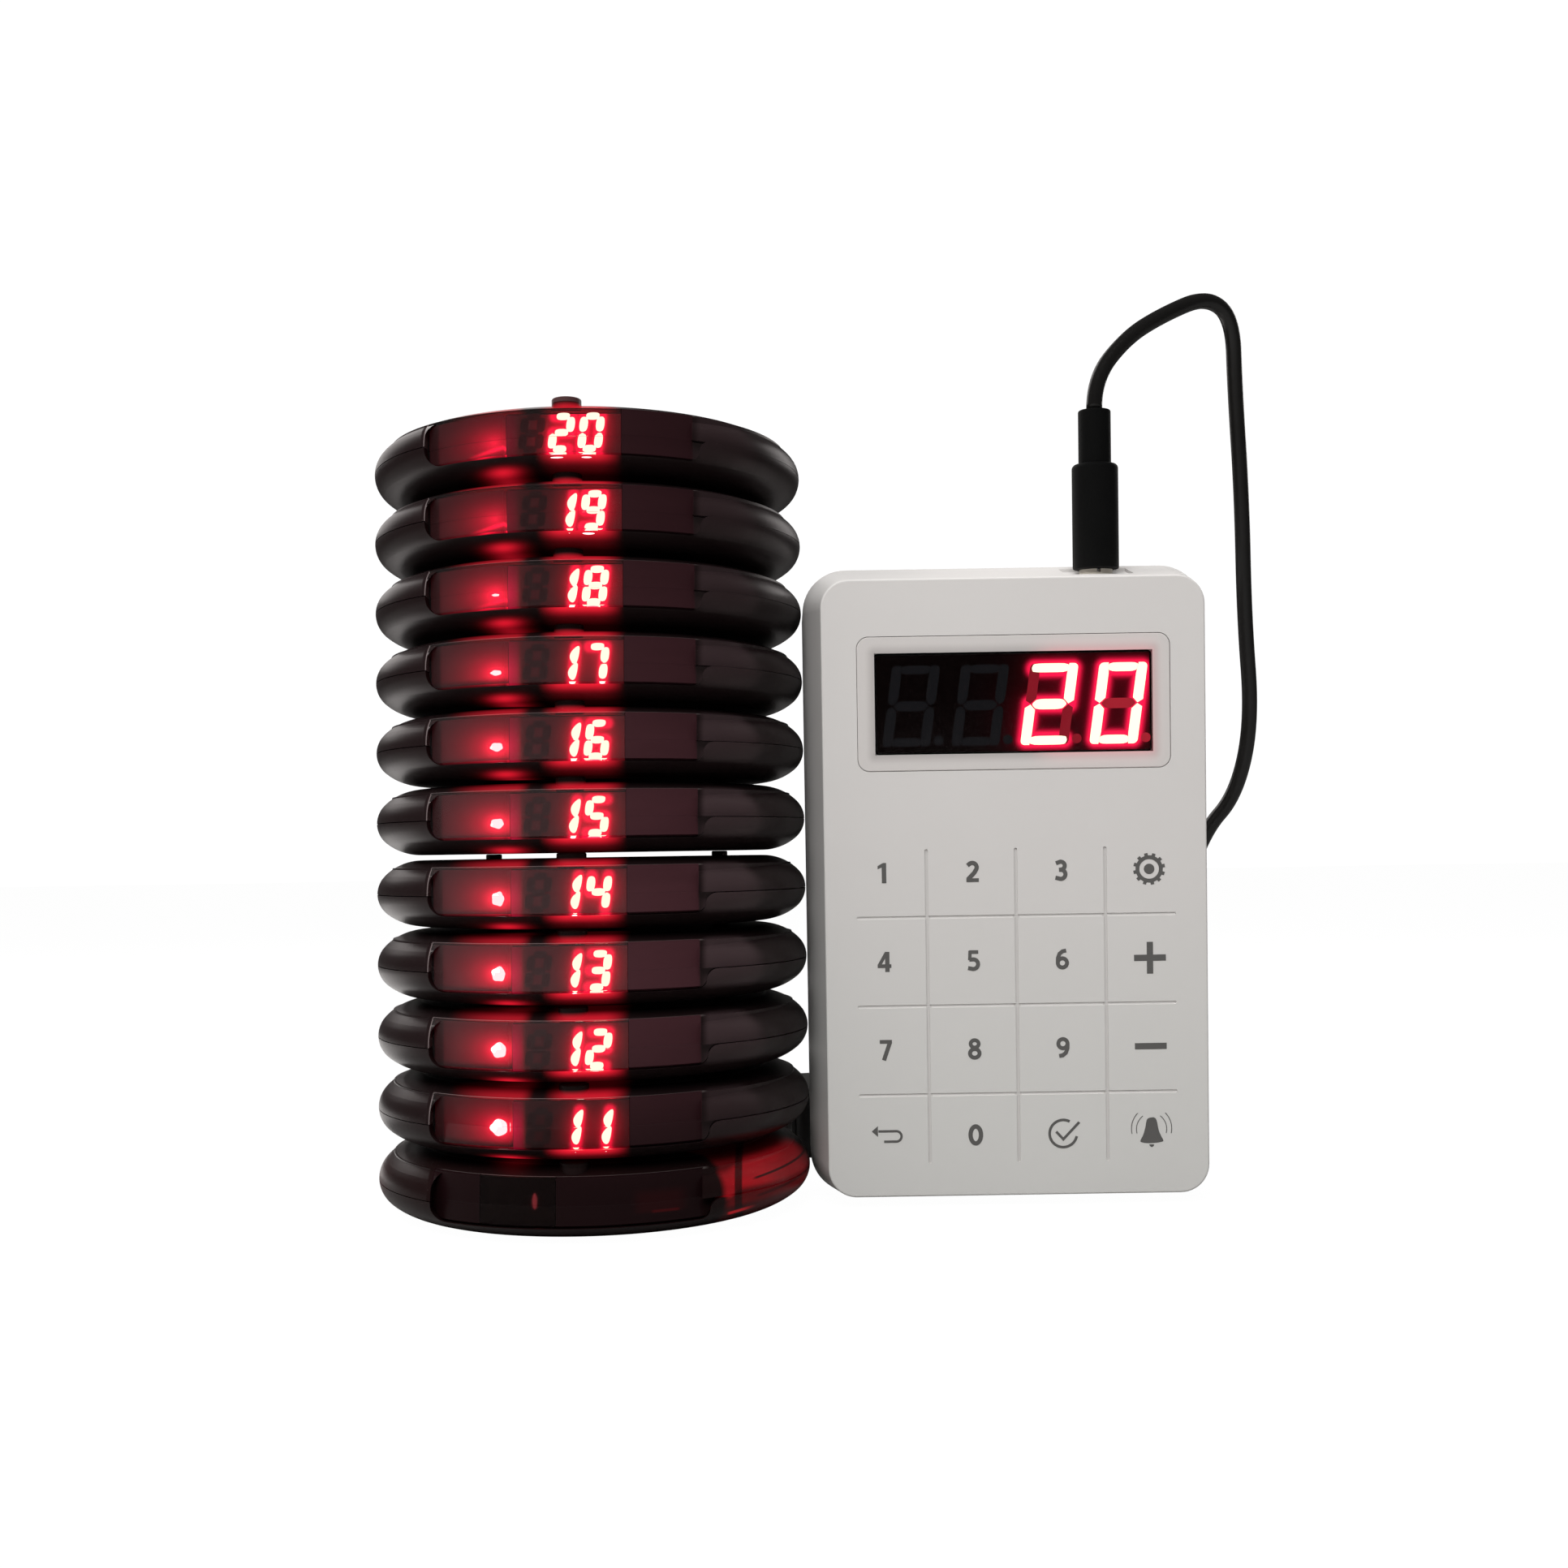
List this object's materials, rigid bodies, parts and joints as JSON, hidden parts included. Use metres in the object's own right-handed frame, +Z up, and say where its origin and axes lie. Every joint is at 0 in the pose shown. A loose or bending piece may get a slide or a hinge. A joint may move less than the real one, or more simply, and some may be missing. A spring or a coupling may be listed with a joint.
{
  "type": "guest pager system",
  "caption": "Stack of round smoked pagers with red digit displays on a charging base, beside a standing white touch keypad with a red display, its power plug, cord and adapter.",
  "frame": {"origin": "on the counter, under the middle of the stack and the keypad together, without the cord", "axes": "+X to the right as the keypad's user sees it, +Y away from that user, +Z up"},
  "size_m": [0.2333, 0.1495, 0.2313],
  "materials": {
    "smoked_cover": "dark smoked translucent, satin rim and glossy window",
    "smoked_shell": "dark smoked translucent, satin",
    "led_module": "dark red tinted face with red segments",
    "circuit_board": "solder mask",
    "socket_black": "matt",
    "socket_pale": "matt",
    "rubber": "matt rubber",
    "keypad_white": "fine satin white plastic",
    "lens": "clear window with a frosted pale border",
    "antenna_metal": "bare",
    "screw_steel": "zinc plated",
    "plug_black": "matt moulded",
    "contact_metal": "nickel plated",
    "cord_black": "slightly glossy vinyl",
    "adapter_black": "fine satin"
  },
  "bodies": {
    "keypad": {"keypad_front_shell": "keypad_white", "keypad_rear_shell": "keypad_white", "keypad_display_lens": "lens", "keypad_led_display": "led_module", "keypad_circuit_board": "circuit_board", "keypad_dc_jack": "socket_pale", "keypad_antenna": "antenna_metal", "keypad_screws": "screw_steel", "keypad_feet": "rubber", "power_cord_coil": "cord_black", "power_adapter": "adapter_black", "adapter_pins": "contact_metal"},
    "plug": {"dc_plug": "plug_black", "dc_plug_barrel": "contact_metal", "power_cord": "cord_black"},
    "charging_base": {"base_top_cover": "smoked_cover", "base_bottom_shell": "smoked_shell", "base_circuit_board": "circuit_board", "base_dc_jack": "socket_black", "base_feet": "rubber"},
    "pager_11": {"pager_11_top_cover": "smoked_cover", "pager_11_bottom_shell": "smoked_shell", "pager_11_led_display": "led_module", "pager_11_circuit_board": "circuit_board"},
    "pager_12": {"pager_12_top_cover": "smoked_cover", "pager_12_bottom_shell": "smoked_shell", "pager_12_led_display": "led_module", "pager_12_circuit_board": "circuit_board"},
    "pager_13": {"pager_13_top_cover": "smoked_cover", "pager_13_bottom_shell": "smoked_shell", "pager_13_led_display": "led_module", "pager_13_circuit_board": "circuit_board"},
    "pager_14": {"pager_14_top_cover": "smoked_cover", "pager_14_bottom_shell": "smoked_shell", "pager_14_led_display": "led_module", "pager_14_circuit_board": "circuit_board"},
    "pager_15": {"pager_15_top_cover": "smoked_cover", "pager_15_bottom_shell": "smoked_shell", "pager_15_led_display": "led_module", "pager_15_circuit_board": "circuit_board"},
    "pager_16": {"pager_16_top_cover": "smoked_cover", "pager_16_bottom_shell": "smoked_shell", "pager_16_led_display": "led_module", "pager_16_circuit_board": "circuit_board"},
    "pager_17": {"pager_17_top_cover": "smoked_cover", "pager_17_bottom_shell": "smoked_shell", "pager_17_led_display": "led_module", "pager_17_circuit_board": "circuit_board"},
    "pager_18": {"pager_18_top_cover": "smoked_cover", "pager_18_bottom_shell": "smoked_shell", "pager_18_led_display": "led_module", "pager_18_circuit_board": "circuit_board"},
    "pager_19": {"pager_19_top_cover": "smoked_cover", "pager_19_bottom_shell": "smoked_shell", "pager_19_led_display": "led_module", "pager_19_circuit_board": "circuit_board"},
    "pager_20": {"pager_20_top_cover": "smoked_cover", "pager_20_bottom_shell": "smoked_shell", "pager_20_led_display": "led_module", "pager_20_circuit_board": "circuit_board"}
  },
  "joints": [
    {"name": "plug_pull", "type": "slide", "parent": "keypad", "child": "plug", "axis": [0, -0.0698, 0.9976], "range_m": [0, 0.012], "deforming": ["power_cord"]},
    {"name": "base_lift", "type": "slide", "parent": "keypad", "child": "charging_base", "axis": [0, 0, 1], "range_m": [0, 0.05]},
    {"name": "pager_11_lift", "type": "slide", "parent": "charging_base", "child": "pager_11", "axis": [0, 0, 1], "range_m": [0, 0.03]},
    {"name": "pager_12_lift", "type": "slide", "parent": "pager_11", "child": "pager_12", "axis": [0, 0, 1], "range_m": [0, 0.03]},
    {"name": "pager_13_lift", "type": "slide", "parent": "pager_12", "child": "pager_13", "axis": [0, 0, 1], "range_m": [0, 0.03]},
    {"name": "pager_14_lift", "type": "slide", "parent": "pager_13", "child": "pager_14", "axis": [0, 0, 1], "range_m": [0, 0.03]},
    {"name": "pager_15_lift", "type": "slide", "parent": "pager_14", "child": "pager_15", "axis": [0, 0, 1], "range_m": [0, 0.03]},
    {"name": "pager_16_lift", "type": "slide", "parent": "pager_15", "child": "pager_16", "axis": [0, 0, 1], "range_m": [0, 0.03]},
    {"name": "pager_17_lift", "type": "slide", "parent": "pager_16", "child": "pager_17", "axis": [0, 0, 1], "range_m": [0, 0.03]},
    {"name": "pager_18_lift", "type": "slide", "parent": "pager_17", "child": "pager_18", "axis": [0, 0, 1], "range_m": [0, 0.03]},
    {"name": "pager_19_lift", "type": "slide", "parent": "pager_18", "child": "pager_19", "axis": [0, 0, 1], "range_m": [0, 0.03]},
    {"name": "pager_20_lift", "type": "slide", "parent": "pager_19", "child": "pager_20", "axis": [0, 0, 1], "range_m": [0, 0.03]}
  ]
}
